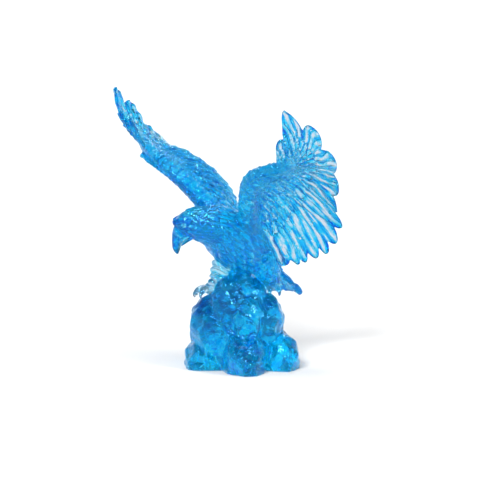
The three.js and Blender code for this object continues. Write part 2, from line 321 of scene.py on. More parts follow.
def swell(stations, girths, facing, sides=40, steps=40, squareness=1.0, ripples=0, ripple_depth=0.0):
    """A closed form round a spine: a ball whose rings are moved along it.

    facing is the way that its thickness points. A squareness under 1 fills out the rings' corners, and
    ripples are raised bands across it.
    """
    spine = Spine(stations)
    girth = Spine(girths)
    bpy.ops.mesh.primitive_uv_sphere_add(segments=sides, ring_count=steps)
    piece = bpy.context.active_object
    ball = points_of(piece)
    row = np.rint(np.arccos(np.clip(ball[:, 2], -1, 1)) / math.pi * steps)
    on_pole = (row == 0) | (row == steps)
    share = np.clip((row - 1) / (steps - 2), 0, 1)
    angle = np.arctan2(ball[:, 1], ball[:, 0])
    along = spine.tangent(share)
    across = unit_vectors(np.cross(facing, along))
    over = np.cross(along, across)
    half = girth.at(share) * (1 + ripple_depth * np.cos(2 * math.pi * ripples * share))[:, None]
    half[on_pole] = 0
    reach = [np.sign(wave) * np.abs(wave) ** squareness for wave in (np.cos(angle), np.sin(angle))]
    offset = across * (reach[0] * half[:, 0])[:, None] + over * (reach[1] * half[:, 1])[:, None]
    set_points(piece, spine.at(share) + offset)
    return piece


def limb(rows, facing, **options):
    """The same form, from rows of forward, left, up, half width, half thickness on the eagle."""
    rows = np.asarray(rows, float)
    return swell(perch(rows[:, :3]), rows[:, 3:] * eagle_unit(), facing, **options)


def slab(columns, rows, place):
    """A thin form of two faces, with each vertex's shares across and along. place turns them into points."""
    bpy.ops.mesh.primitive_grid_add(x_subdivisions=columns, y_subdivisions=rows, size=1)
    piece = bpy.context.active_object
    apply_modifier(piece, "SOLIDIFY", thickness=1, offset=0)
    points = points_of(piece)
    u, v = points[:, 0] + 0.5, points[:, 1] + 0.5
    set_points(piece, place(u, v, np.sign(points[:, 2])))
    return piece, u, v


# How a feather's thickness changes from its shaft, at 0, to its edges, at 1 and -1: a soft roof with wavy
# ridges along it and a groove at its edge.
ROOF_FALL = 0.15
EDGE_GROOVE = 0.35
GROOVE_START = 0.75
RIDGE_RISE = 0.42

# How many ridges stand on half a feather's width. Their wobble is made of two waves: how each turns along
# the feather, from feather to feather and across it, and its strength.
RIDGES = 0.85
RIDGE_WOBBLE = 0.24
WOBBLE_WAVES = [
    (8, 2.1, 0, 1),
    (19, -1.3, 2, 0.6),
]


def ridge_wave(off, share, feather, ridges=RIDGES):
    """From -1 in a valley to 1 on a ridge. feather is its number, which varies its ridges."""
    wobble = 0
    for along, by_feather, across, strength in WOBBLE_WAVES:
        wobble = wobble + strength * np.sin(along * share + by_feather * feather + across * off)
    return np.cos(2 * math.pi * (ridges * off + RIDGE_WOBBLE * wobble))


def vane_relief(off, share, feather, ridges=RIDGES):
    """The share of its thickness that a feather has at a place. off is signed, and share runs along it."""
    return (
        1
        - ROOF_FALL * off**2
        - EDGE_GROOVE * smooth(np.abs(off), GROOVE_START, 1)
        + RIDGE_RISE * ridge_wave(off, share, feather, ridges)
    )


def shaft_line(root, tip, facing, bow, sweep=0.0):
    """The three points of a feather's curved line, whose middle rises towards facing and sweeps sideways."""
    reach = tip - root
    rise = bow * np.linalg.norm(reach, axis=-1, keepdims=True)
    side = unit_vectors(np.cross(facing, reach))
    middle = (root + tip) / 2 + facing * 2 * rise + side * 2 * sweep
    return root, middle, tip


def on_line(line, share):
    root, middle, tip = line
    share = np.asarray(share)[..., None]
    at = (1 - share) ** 2 * root + 2 * (1 - share) * share * middle + share**2 * tip
    along = unit_vectors((1 - share) * (middle - root) + share * (tip - middle))
    return at, along


# How the tint of a feather falls on its ridges, a painted highlight, and rises in its valleys, a painted
# shade, and grows along its rim, a painted shade, and where the rim of a single feather starts and is full:
# across it, and towards its end.
RIDGE_HIGHLIGHT_VALLEY_SHADE = 0.34
RIM_SHADE = 0.45
QUILL_SIDE_RIM = (0.7, 0.95)
QUILL_END_RIM = (0.9, 0.98)

# How finely the glass's streaks run across a feather and along it.
FLOW_ACROSS = 6
FLOW_ALONG = 9


def flow_at(i, share):
    """Where the streaks' pattern is read, for shares along the feather with number i."""
    return np.stack([i * FLOW_ACROSS, share * FLOW_ALONG, np.zeros(len(i))], axis=1)


# A feather's outline: share of its length, share of its half width, share of its half thickness.
VANE_OUTLINE = np.array(
    [[0, 0.45, 1.2], [0.3, 0.8, 1.1], [0.62, 1, 1], [0.85, 0.95, 1], [0.96, 0.68, 0.85], [1, 0.25, 0.6]]
)


def quill(root, tip, facing, half_width, thickness, bow, number, tint, columns=24, rows=60):
    """One long feather."""
    line = shaft_line(root, tip, facing, bow)

    def place(u, v, face):
        off = 2 * u - 1
        width = np.interp(v, VANE_OUTLINE[:, 0], VANE_OUTLINE[:, 1]) * half_width
        depth = np.interp(v, VANE_OUTLINE[:, 0], VANE_OUTLINE[:, 2]) * thickness / 2
        at, along = on_line(line, v)
        across = unit_vectors(np.cross(facing, along))
        depth = depth * vane_relief(off, v, number)
        return at + across * (off * width)[:, None] + facing * (face * depth)[:, None]

    piece, u, v = slab(columns, rows, place)
    off = 2 * u - 1
    # Lighter on the ridges as a painted highlight, deeper in the valleys and along the rim as painted shade.
    rim = np.maximum(smooth(np.abs(off), *QUILL_SIDE_RIM), smooth(v, *QUILL_END_RIM))
    paint(piece, tint - RIDGE_HIGHLIGHT_VALLEY_SHADE * ridge_wave(off, v, number) + RIM_SHADE * rim, 1, flow_at(number + u, v))
    return piece


# A tuft's half width along it, from its blunt root to its point, its height, and the crest along its
# middle.
TUFT_WIDTH = 1.72
TUFT_ROOT = 0.03
TUFT_ROOT_POWER = 0.55
TUFT_POINT_POWER = 0.7
TUFT_HEIGHT = 0.7
CREST_RISE = 0.45
CREST_WIDTH = 0.25


def tuft():
    """A short pointed feather from -1 to 1 along X, which the plumage copies."""
    bpy.ops.mesh.primitive_uv_sphere_add(segments=16, ring_count=12, rotation=(0, math.pi / 2, 0))
    bpy.ops.object.transform_apply(location=False, rotation=True, scale=False)
    piece = bpy.context.active_object
    ball = points_of(piece)
    share = (ball[:, 0] + 1) / 2
    radius = np.maximum(np.hypot(ball[:, 1], ball[:, 2]), 1e-9)
    side = ball[:, 1] / radius
    rise = ball[:, 2] / radius
    width = TUFT_WIDTH * (share + TUFT_ROOT) ** TUFT_ROOT_POWER * (1 - share) ** TUFT_POINT_POWER
    width[radius < 1e-6] = 0
    crest = 1 + CREST_RISE * np.exp(-((side / CREST_WIDTH) ** 2))
    set_points(piece, np.stack([ball[:, 0], side * width, TUFT_HEIGHT * rise * width * crest], axis=1))
    return piece


def basis(at, axes, half_size):
    """The matrix that sizes a tuft, turns it to the axes and puts it in its place."""
    matrix = Matrix.Identity(4)
    for k in range(3):
        matrix.col[k].xyz = Vector(axes[k] * half_size[k])
    matrix.translation = Vector(at)
    return matrix


def lay(template, at, back, out, half_size, lift):
    """One tuft on a surface that faces out, pointing back, with its tip lifted."""
    back = unit_vectors(back + out * lift)
    side = unit_vectors(np.cross(out, back))
    return copied(template, basis(at, (back, side, np.cross(back, side)), half_size))


# How much shorter a tuft is on the leading side of a limb, where the surface curves away under it, how its
# size follows the limb's girth, and how far chance moves it round the limb and changes its size.
FRONT_SHORTENING = 0.45
LEAST_TUFT = 0.55
GIRTH_GAIN = 0.45
TUFT_SHIFT = 0.1
TUFT_SIZES = (0.88, 1.1)


def lay_rings(template, rows, facing, shares, per_ring, half_size, lift, seed, towards=1, flow=None):
    """Staggered rings of tufts round a limb, pointing along it, or the way that flow gives for each share."""
    rows = np.asarray(rows, float)
    spine = Spine(perch(rows[:, :3]))
    girth = Spine(rows[:, 3:] * eagle_unit())
    widest = rows[:, 3].max() * eagle_unit()
    chance = np.random.default_rng(seed)
    laid = []
    for ring, share in enumerate(shares):
        along = spine.tangent(share)
        across = unit_vectors(np.cross(facing, along))
        over = np.cross(along, across)
        half = girth.at(share)
        size = np.array(half_size) * eagle_unit() * (LEAST_TUFT + GIRTH_GAIN * half[0] / widest)
        for k in range(per_ring):
            place = k + 0.5 * (ring % 2) + chance.uniform(-TUFT_SHIFT, TUFT_SHIFT)
            turn = 2 * math.pi * place / per_ring
            out = across * math.cos(turn) + over * math.sin(turn)
            at = spine.at(share) + across * math.cos(turn) * half[0] + over * math.sin(turn) * half[1]
            back = along * towards
            shape = size * chance.uniform(*TUFT_SIZES)
            if flow:
                back = flow(share, along)
                shape[0] *= 1 - FRONT_SHORTENING * max(0, -(back @ out))
                back = back - out * (back @ out)
            laid.append(lay(template, at, back, out, shape, lift))
    return laid


# The rock. Each boulder: forward, left and up of its middle, half width, half depth and half height, turn
# in degrees, and how deeply it is tinted.
BOULDERS = [
    [15.6, -19.8, 8.2, 16.2, 18, 15.6, 45, 0.58],
    [9.1, 13.2, 9.6, 16.4, 21.8, 19.8, 38, 0.78],
    [-19.3, 19.3, 9.4, 13.8, 19.4, 18.4, 52, 0.54],
    [12.6, -12.4, 32.6, 20.2, 19, 21.8, 45, 0.7],
    [4, 10, 38, 13, 15, 17, 20, 0.64],
    [-9.8, 10.2, 35, 15.4, 18, 20, 60, 0.56],
    [-4.1, -26.4, 14.9, 18.7, 17.2, 21.5, 10, 0.64],
    [-27.4, -5.1, 13.5, 18, 16.5, 18.7, 75, 0.68],
    [-3, -3, 22, 25, 25, 30, 45, 0.64],
    [-2, 1, 46, 19, 15, 21, 30, 0.72],
    [13, -1, 46, 13, 12, 25, 10, 0.78],
    [5, 2, 50, 11, 11, 25, 45, 0.7],
]

# How a boulder is struck: its facets climb in a spiral that starts a little further round on each boulder,
# and bite in by up to twice their depth, which varies in waves from facet to facet.
FACETS_PER_BOULDER = 20
LOWEST_FACET_CLIMB = -0.5
TOP_FACET_CLIMB = 0.96
FACET_DEPTH = 0.07
FACET_TURN = 1.7
FACET_WAVE = 5

# How finely the boulders are melted together and how far they are rounded, then the size and rise of the
# broad lumps and the small dents on them.
ROCK_GRAIN = 0.0008
ROCK_ROUNDING = 4
LUMP_SIZE = 0.008
LUMP_RISE = 0.0022
DENT_SIZE = 0.003
DENT_RISE = 0.0007


def boulder_frame(row):
    """A boulder's middle, half sizes and turn."""
    forward, left, up, half_width, half_depth, half_height, turn, _ = row
    plan = sizes().rock_width / DRAWN_ROCK_WIDTH
    rise = sizes().rock_height / DRAWN_ROCK_HEIGHT
    middle = Vector((left * plan, -forward * plan, up * rise))
    half = Vector((half_width * plan, half_depth * plan, half_height * rise))
    return middle, half, math.radians(turn)


def paint_rock(rock):
    """Tints every part of the rock as the boulder that it lies nearest to."""
    depths = []
    for row in BOULDERS:
        middle, half, turn = boulder_frame(row)
        inwards = np.array(Matrix.Rotation(-turn, 3, "Z"))
        local = (points_of(rock) - np.array(middle)) @ inwards.T / np.array(half)
        depths.append(np.linalg.norm(local, axis=1))
    paint(rock, np.array([row[-1] for row in BOULDERS])[np.argmin(depths, axis=0)])


def boulder(row, seed):
    """A block whose corners are struck off by flat facets round an egg shape of the same half sizes."""
    middle, half, turn = boulder_frame(row)
    yaw = Matrix.Rotation(turn, 3, "Z")
    bpy.ops.mesh.primitive_cube_add(size=2, location=middle, rotation=(0, 0, turn), scale=half)
    piece = bpy.context.active_object
    bpy.ops.object.transform_apply(location=True, rotation=True, scale=True)
    bpy.ops.object.mode_set(mode="EDIT")
    for k in range(FACETS_PER_BOULDER):
        share = (k + 0.5) / FACETS_PER_BOULDER
        climb = LOWEST_FACET_CLIMB + (TOP_FACET_CLIMB - LOWEST_FACET_CLIMB) * share
        level = math.sqrt(1 - climb * climb)
        way = FACET_TURN * seed + k * GOLDEN_ANGLE
        normal = Vector((level * math.cos(way), level * math.sin(way), climb))
        cut = FACET_DEPTH * (1 - math.sin(FACET_WAVE * k + seed))
        reach = (normal * half).length * (1 - cut)
        normal = yaw @ normal
        bpy.ops.mesh.select_all(action="SELECT")
        bpy.ops.mesh.bisect(
            plane_co=middle + normal * reach, plane_no=normal, use_fill=True, clear_outer=True
        )
    bpy.ops.object.mode_set(mode="OBJECT")
    return piece


class EAGLE_OT_rock(bpy.types.Operator):
    """Strikes the boulders and melts them into one rounded rock with a flat underside"""

    bl_idname = "eagle.rock"
    bl_label = "Rock"

    def execute(self, context):
        rock = join([boulder(row, seed) for seed, row in enumerate(BOULDERS)], ROCK)
        apply_modifier(rock, "REMESH", mode="VOXEL", voxel_size=ROCK_GRAIN)
        apply_modifier(rock, "SMOOTH", factor=0.5, iterations=ROCK_ROUNDING)
        for name, size, rise in (("lumps", LUMP_SIZE, LUMP_RISE), ("dents", DENT_SIZE, DENT_RISE)):
            relief = bpy.data.textures.new(name, "CLOUDS")
            relief.noise_scale = size
            relief.noise_depth = 1
            apply_modifier(rock, "DISPLACE", texture=relief, strength=rise, mid_level=0.5)
        bpy.ops.object.mode_set(mode="EDIT")
        bpy.ops.mesh.select_all(action="SELECT")
        bpy.ops.mesh.bisect(plane_co=(0, 0, 0), plane_no=(0, 0, -1), use_fill=True, clear_outer=True)
        bpy.ops.object.mode_set(mode="OBJECT")
        paint_rock(rock)
        return {"FINISHED"}


# The trunk, from the tail's root to the nape: forward, left, up, half width, half thickness.
TRUNK_ROWS = [
    [-34, 0, 12, 6, 4],
    [-28, 0, 15.5, 10.5, 7.5],
    [-18, 0, 21, 14.4, 12.2],
    [-5.7, 0, 28.3, 17.2, 15.8],
    [5.7, 0, 36.9, 19.4, 18.2],
    [14.4, 0, 44.1, 19, 17.6],
    [22, -1.5, 49, 16.4, 15.6],
    [29, -4.2, 52, 13.6, 13.4],
    [35, -7.5, 53, 11.4, 12],
]


class EAGLE_OT_trunk(bpy.types.Operator):
    """Models the trunk and neck"""

    bl_idname = "eagle.trunk"
    bl_label = "Trunk"

    def execute(self, context):
        trunk = limb(TRUNK_ROWS, UPRIGHT, sides=72, steps=72)
        trunk.name = TRUNK
        paint(trunk, TRUNK_TINT)
        return {"FINISHED"}


# The head has its own frame: ahead, to its left, and up, from the middle of the skull. The mouth's rows run
# along the beak's edge.
HEAD_MIDDLE = [37.1, -8.6, 53.6]
HEAD_TURN = math.radians(-45)
SKULL_ROWS = [
    [-14, 0, -0.8, 12, 12.6],
    [-6, 0, 0.2, 11.4, 12],
    [2, 0, 0, 10.4, 11],
    [9, 0, -1.2, 8.2, 9.2],
    [14, 0, -2.2, 4.6, 5.6],
]
BEAK_ROWS = [
    [8, 0, -3, 5.6, 8.6],
    [11.6, 0, -8, 4.8, 6.4],
    [13.8, 0, -13.6, 3.6, 4.2],
    [14.6, 0, -18.4, 2.3, 2.6],
    [13.6, 0, -22.2, 0.7, 0.8],
]
JAW_ROWS = [
    [4, 0, -7.6, 5, 4.4],
    [8.4, 0, -11.8, 3.8, 3],
    [11.2, 0, -15.6, 1.8, 1.4],
]
BROW_ROWS = [
    [16.6, 5.4, 0.8, 2.2, 2],
    [9.6, 7.4, 3.4, 2.6, 2.6],
    [1, 8.6, 3.6, 1.8, 2],
]
EYE_PLACE = [8.6, 7.6, -0.4]
CERE_ROWS = [
    [15.5, 2.6, -3.4, 1.2, 1],
    [14, 4.4, -6.6, 1.5, 1.2],
    [10.6, 5, -9.8, 1.2, 1],
]
MOUTH_ROWS = [
    [13, 1, -20.4, 0.7, 0.6],
    [12.2, 2.5, -16.4, 1.2, 1],
    [10.4, 4, -12.8, 1.3, 1],
    [6, 6, -9, 0.9, 0.7],
]

# The lids are a ring round the eye: its radius as a share of the eye's, its own half width as a share of
# the eye's diameter, and two places that it faces along, from the first to the second.
LID_RADIUS = 1.2
LID_WIDTH = 0.22
LID_LINE = [
    [8.6, 7, 0],
    [8.9, 12, 0],
]


def on_head(rows, side=1):
    """Rows in the head's frame, as rows on the eagle. side -1 is its right."""
    rows = np.array(rows, float)
    ahead, left, up = rows[:, 0], side * rows[:, 1], rows[:, 2]
    forward = ahead * math.cos(HEAD_TURN) - left * math.sin(HEAD_TURN)
    sideways = ahead * math.sin(HEAD_TURN) + left * math.cos(HEAD_TURN)
    rows[:, :3] = np.stack([forward, sideways, up], axis=1) + HEAD_MIDDLE
    return rows


class EAGLE_OT_head(bpy.types.Operator):
    """Models the skull, hooked beak, jaw, brows, lids and eyes"""

    bl_idname = "eagle.head"
    bl_label = "Head"

    def execute(self, context):
        ahead = heading(math.cos(HEAD_TURN), math.sin(HEAD_TURN), 0)
        parts = [
            limb(on_head(SKULL_ROWS), UPRIGHT, sides=56, steps=48),
            limb(on_head(BEAK_ROWS), ahead, sides=40, steps=44),
            limb(on_head(JAW_ROWS), ahead, sides=24, steps=24),
        ]
        for part in parts:
            paint(part, HEAD_TINT)
        for side in (1, -1):
            parts.append(limb(on_head(BROW_ROWS, side), UPRIGHT, sides=20, steps=28))
            paint(parts[-1], BROW_TINT)
            # The mouth's rows are painted nearly clear, a painted highlight along the beak's edge.
            for rows, tint in ((CERE_ROWS, HEAD_TINT), (MOUTH_ROWS, LIP_HIGHLIGHT)):
                parts.append(limb(on_head(rows, side), ahead, sides=16, steps=20))
                paint(parts[-1], tint)
            eye = perch(on_head([EYE_PLACE], side)[0, :3])
            radius = sizes().eye_diameter / 2
            bpy.ops.mesh.primitive_uv_sphere_add(segments=24, ring_count=16, radius=radius, location=eye)
            parts.append(bpy.context.active_object)
            # The eye is painted nearly clear, a painted highlight.
            paint(parts[-1], EYE_HIGHLIGHT)
            bpy.ops.object.transform_apply(location=True, rotation=False, scale=False)
            inner, outer = perch(on_head(LID_LINE, side)[:, :3])
            bpy.ops.mesh.primitive_torus_add(
                major_radius=radius * LID_RADIUS,
                minor_radius=sizes().eye_diameter * LID_WIDTH,
                major_segments=32,
                minor_segments=12,
                location=eye,
                rotation=Vector(outer - inner).to_track_quat("Z", "Y").to_euler(),
            )
            parts.append(bpy.context.active_object)
            paint(parts[-1], BROW_TINT)
            bpy.ops.object.transform_apply(location=True, rotation=True, scale=False)
        join(parts, HEAD)
        return {"FINISHED"}


# The wing. The bones run from the shoulder to the end of the hand, and the flight feathers fan back from
# them, the first one at the wing's tip. Forward, left, up, then half width and half thickness.
WING_BONES = [
    [7, 11, 48, 10.5, 9],
    [13, 20, 60.6, 7.6, 6.4],
    [23.5, 31, 77.5, 7.2, 5.6],
    [30.5, 44, 90, 8.2, 5.4],
    [29.4, 57.5, 96, 7.4, 4.6],
    [26, 68, 99.5, 6.6, 4],
    [27, 73, 105, 4, 2.6],
]
FLIGHT_TIPS = [
    [43.4, 85.6, 144.9],
    [19.8, 92.9, 130.1],
    [-3.7, 90.3, 105],
    [-28, 70, 79],
    [-35, 61, 63.5],
    [-44.7, 56.9, 50],
    [-45.8, 50.2, 36.9],
    [-43.4, 43.4, 28.6],
    [-39, 37, 25],
    [-34.2, 30.1, 21.4],
    [-31.5, 26.4, 20],
    [-24.7, 19.7, 19.3],
    [-16.2, 16.2, 18.2],
]
LAST_FEATHER = len(FLIGHT_TIPS) - 1

# The innermost feather stands at this share of the bones.
INNERMOST_BONE = 0.16

# How far the sheet reaches past its first and last feathers' lines. The clipped share of their length gives
# a width that grows from the bones to the middle.
LEADING_WIDTH = 8
TRAILING_WIDTH = 4
EDGE_TAPER = (0.15, 0.5)

# The way that the sheet faces is worked out from places between the bones and the tips, weighted like this.
ROOT_WEIGHT = 0.4
TIP_WEIGHT = 0.6

# How the feathers' lines bow, at the tip, further in and at the root of the wing, with the numbers of the
# feathers up to and from which the bow changes, and how far the first feathers sweep.
TIP_BOW = -0.12
INNER_BOW = 0.19
INNER_BOW_AT = 4
ROOT_BOW = 0.1
ROOT_BOW_FROM = 7
TIP_SWEEP = 5
SWEPT_FEATHERS = 3

# How deeply the sheet is notched between the flight feathers' tips, from the wing's tip in.
TIP_NOTCHES = np.array([0.35, 0.19, 0.18, 0.1, 0.06])
TIP_NOTCH_POWER = 2.4

# The sheet's bands, from the bones out: where each ends as a share of the feathers' length, how deep its
# edge is scalloped, how many scallops stand on one flight feather and how far they are shifted, its
# thickness at its start and end as shares of the covering thickness, and how many rows of faces it has.
COVER_BANDS = [
    (0.11, 0.16, 2, 0.0, 1.3, 1.6, 7),
    (0.19, 0.13, 2, 0.5, 1.3, 1.6, 7),
    (0.28, 0.11, 1, 0.0, 1.25, 1.55, 8),
    (0.38, 0.09, 1, 0.5, 1.2, 1.5, 9),
    (0.5, 0.08, 1, 0.0, 0.9, 1.15, 10),
    (0.62, 0.07, 1, 0.5, 0.85, 1.1, 11),
]

# Towards the tip, from the second number of feathers in to the first, the covering feathers lie flatter,
# down to this share of a bare feather's thickness.
COVER_FADE = (0.5, 3.5)
TIP_COVER = 1.2

# Near the tip the feathers have this many more ridges on half their width, fading over these feathers.
HAND_RIDGES = 0.9
HAND_RIDGES_FADE = (1, 4)

# The bare feathers: rows of faces, the power by which these crowd at the tips, the shares of the reach and
# of a feather's width over which the tips and the leading edge are rounded off, and the least thickness
# left there.
BARE_ROWS = 50
TIP_CROWDING = 1.5
TIP_ROUNDING = 0.05
TIP_EDGE = 0.35
LEADING_ROUNDING = 0.12

# The step down from one band to the next, as a share of the feathers' length, the columns of faces on a
# flight feather, and how far the numbers that vary the ridges are apart from band to band.
BAND_STEP = 0.004
COLUMNS_PER_FEATHER = 28
BAND_NUMBERS = 5

# How deeply the sheet is tinted: the bare feathers, how much more the covering ones are, and the share of
# that which is left where they lie flat.
BARE_TINT = 0.28
COVER_TINT = 0.37
FLAT_TINT = 0.4

# The rims, painted deeper as painted shade: how wide the one along the tips is as a share of the feathers'
# length, with the share of it that is full, then where those on the leading edge and on the feathers' sides
# start and end, and how far the latter fade from the tip in.
RIM_SHARE = 0.05
FULL_RIM = 0.2
LEADING_RIM = (0.1, 0.3)
SIDE_RIM = (0.8, 0.98)
SIDE_RIM_SHADE = 0.9
SIDE_RIM_LOSS = 0.4
SIDE_RIM_FADE = (2, 5)

# The thumb's small feathers, in front of the hand: root, tip, half width.
ALULA = [
    ([28, 69, 97], [38.2, 76.8, 122.4], 4),
    ([27, 66, 96], [34.6, 73.4, 113], 3.4),
]
ALULA_BOW = 0.02

# The small feathers along the bones: shares of the flight feathers' length at which a row of them is laid,
# how many stand on one flight feather, their half sizes and how chance changes them, how far they stand off
# as a share of the covering thickness, how far their tips are lifted, and the seed of their chances.
MARGIN_ROWS = [-0.04, 0.02, 0.07]
MARGIN_PER_FEATHER = 2.2
MARGIN_HALF_SIZE = [4.6, 2.3, 1.0]
MARGIN_SIZES = (0.9, 1.15)
MARGIN_HEIGHT = 0.62
MARGIN_LIFT = 0.14
MARGIN_SEED = 7

# The small feathers round the bones. They point as the flight feathers do near their roots, at this share,
# and lean this much towards the wing's tip.
BONE_RINGS = np.arange(0.06, 1, 0.042)
BONE_TUFTS_PER_RING = 11
BONE_TUFT_HALF_SIZE = [5.2, 2.9, 1.3]
BONE_TUFT_SHARE = 0.1
BONE_TUFT_LEAN = 0.45
BONE_TUFT_LIFT = 0.03
BONE_TUFT_SEED = 11

# How fine the streaks of the bones are along the arm, over it and across it, in turns by the metre, and how
# much deeper the right wing is tinted, a painted shade.
BONE_STREAKS = [140, 480, 480]
RIGHT_WING_SHADE = 0.13


def wing_upper_side():
    """The way that the left wing's upper face turns."""
    return heading(-0.3, -0.7, 0.6)


def bone_flow(bones):
    """Where the streaks' pattern is read on the bones."""
    along = unit_vectors(perch(WING_BONES[-2][:3]) - perch(WING_BONES[0][:3]))
    over = wing_upper_side()
    axes = np.stack([along, over, np.cross(along, over)], axis=1)
    return points_of(bones) @ axes * BONE_STREAKS


def on_fan(i, share):
    """Places on the wing, i feathers in from its tip, with the way that it faces and the feathers' line."""
    bones = Spine(perch([row[:3] for row in WING_BONES]))
    tips = Spine(perch(FLIGHT_TIPS))
    upper = wing_upper_side()
    unit = eagle_unit()

    def root_at(k):
        return bones.at(1 + (INNERMOST_BONE - 1) * k / LAST_FEATHER)

    def middle_at(k):
        return ROOT_WEIGHT * root_at(k) + TIP_WEIGHT * tips.at(k / LAST_FEATHER)

    near = np.clip(i, 0, LAST_FEATHER)
    inner = np.clip(near, 0.5, LAST_FEATHER - 0.5)
    root = root_at(near)
    tip = tips.at(near / LAST_FEATHER)
    reach = tips.at(inner / LAST_FEATHER) - root_at(inner)
    facing = unit_vectors(np.cross(reach, middle_at(inner + 0.5) - middle_at(inner - 0.5)))
    facing = np.where((facing @ upper)[..., None] < 0, -facing, facing)
    bow = TIP_BOW + (INNER_BOW - TIP_BOW) * smooth(near, 0, INNER_BOW_AT)
    bow = (bow + (ROOT_BOW - bow) * smooth(near, ROOT_BOW_FROM, LAST_FEATHER))[..., None]
    sweep = (TIP_SWEEP * unit * (1 - smooth(near, 0, SWEPT_FEATHERS)))[..., None]
    at, along = on_line(shaft_line(root, tip, facing, bow, sweep), share)
    across = unit_vectors(np.cross(facing, along))
    taper = np.sin(math.pi * np.clip(share, *EDGE_TAPER))
    width = taper * np.where(i < 0, LEADING_WIDTH, TRAILING_WIDTH) * unit
    at = at + across * (2 * (i - near) * width)[..., None]
    return at, facing, along


def off_centre(i, shift=0.0, scallops=1):
    """Where a place is on its feather, from -1 at one edge to 1 at the other, and the feather's number."""
    place = i * scallops - shift
    return 2 * (place - np.rint(place)), np.rint(place)


def wing_rows():
    """The sheet's rows of vertices: the band each belongs to, and its share of the band's reach."""
    rows = []
    for band, settings in enumerate(COVER_BANDS):
        rows += [(band, k / settings[-1]) for k in range(settings[-1] + 1)]
    rows += [(len(COVER_BANDS), k / BARE_ROWS) for k in range(BARE_ROWS + 1)]
    return np.array(rows)


def wing_sheet(u, v):
    """For each vertex of the wing's sheet: its feather, its share along it, its thickness and its tint."""
    rows = wing_rows()
    row = np.rint(v * (len(rows) - 1)).astype(int)
    band = rows[row, 0].astype(int)
    part = rows[row, 1]
    i = u * len(FLIGHT_TIPS) - 0.5
    share = np.empty(len(i))
    thickness = np.empty(len(i))
    tint = np.empty(len(i))
    start = np.zeros(len(i))
    depth = smooth(i, *COVER_FADE)
    ridges = RIDGES + HAND_RIDGES * (1 - smooth(i, *HAND_RIDGES_FADE))
    plain = TIP_COVER * sizes().feather_thickness
    for k, (end, notch, scallops, shift, thin, thick, _) in enumerate(COVER_BANDS):
        off, feather = off_centre(i, shift, scallops)
        edge = end * (1 - notch * off**2)
        here = band == k
        share[here] = (start + (edge - start) * part)[here]
        swelling = sizes().cover_thickness * (thin + (thick - thin) * part**2)
        swelling = plain + (swelling - plain) * np.maximum(depth, 1 - end)
        number = feather + BAND_NUMBERS * k
        thickness[here] = (swelling * vane_relief(off, share, number, ridges))[here]
        fading = COVER_TINT * (1 - end) * (FLAT_TINT + (1 - FLAT_TINT) * depth)
        # Painted highlight on the ridges and painted shade in the valleys.
        tint[here] = (BARE_TINT + fading - RIDGE_HIGHLIGHT_VALLEY_SHADE * ridge_wave(off, share, number, ridges))[here]
        start = edge + BAND_STEP
    off, feather = off_centre(i)
    notch = TIP_NOTCHES[np.minimum(np.floor(i + 1), len(TIP_NOTCHES) - 1).astype(int)]
    reach = 1 - notch * np.abs(off) ** TIP_NOTCH_POWER
    here = band == len(COVER_BANDS)
    part = 1 - (1 - part) ** TIP_CROWDING
    share[here] = (start + (reach - start) * part)[here]
    rounding = np.sqrt(1 - smooth(part, 1 - TIP_ROUNDING, 1) ** 2)
    relief = vane_relief(off, share, feather, ridges) * np.maximum(rounding, TIP_EDGE)
    thickness[here] = (sizes().feather_thickness * relief)[here]
    # Painted highlight on the ridges and painted shade in the valleys.
    tint[here] = (BARE_TINT - RIDGE_HIGHLIGHT_VALLEY_SHADE * ridge_wave(off, share, feather, ridges))[here]
    leading = np.clip((i + 0.5) / LEADING_ROUNDING, 0, 1)
    thickness *= np.maximum(np.sqrt(1 - (1 - leading) ** 2), TIP_EDGE)
    # Painted shade along the tips, the leading edge and the feathers' sides.
    rim = smooth(share / reach, 1 - RIM_SHARE, 1 - FULL_RIM * RIM_SHARE)
    rim = np.maximum(rim, 1 - smooth(i + 0.5, *LEADING_RIM))
    side_rim = SIDE_RIM_SHADE - SIDE_RIM_LOSS * smooth(i, *SIDE_RIM_FADE)
    rim = np.maximum(rim, side_rim * smooth(np.abs(off), *SIDE_RIM) * here)
    return i, share, thickness, tint + RIM_SHADE * rim


def wing_place(u, v, face):
    """Points of the wing's sheet."""
    i, share, thickness, _ = wing_sheet(u, v)
    at, facing, _ = on_fan(i, share)
    return at + facing * (face * thickness / 2)[:, None]


def margin_tufts(template):
    """Rows of small feathers along the bones, on both faces of the wing."""
    chance = np.random.default_rng(MARGIN_SEED)
    laid = []
    count = round(MARGIN_PER_FEATHER * LAST_FEATHER)
    for ring, share in enumerate(MARGIN_ROWS):
        for k in range(count):
            i = np.array([(k + 0.5 * (ring % 2)) * LAST_FEATHER / count])
            at, facing, along = on_fan(i, np.array([share]))
            for face in (1, -1):
                out = facing[0] * face
                height = sizes().cover_thickness * MARGIN_HEIGHT
                size = np.array(MARGIN_HALF_SIZE) * eagle_unit() * chance.uniform(*MARGIN_SIZES)
                laid.append(lay(template, at[0] + out * height, along[0], out, size, MARGIN_LIFT))
    return laid


def bone_tufts(template):
    """Small feathers round the bones, which point as the flight feathers do."""

    def flow(share, along):
        i = LAST_FEATHER * np.clip((1 - share) / (1 - INNERMOST_BONE), 0, 1)
        return on_fan(np.array([i]), np.array([BONE_TUFT_SHARE]))[2][0] + along * BONE_TUFT_LEAN

    return lay_rings(
        template,
        WING_BONES,
        wing_upper_side(),
        BONE_RINGS,
        BONE_TUFTS_PER_RING,
        BONE_TUFT_HALF_SIZE,
        lift=BONE_TUFT_LIFT,
        seed=BONE_TUFT_SEED,
        flow=flow,
    )


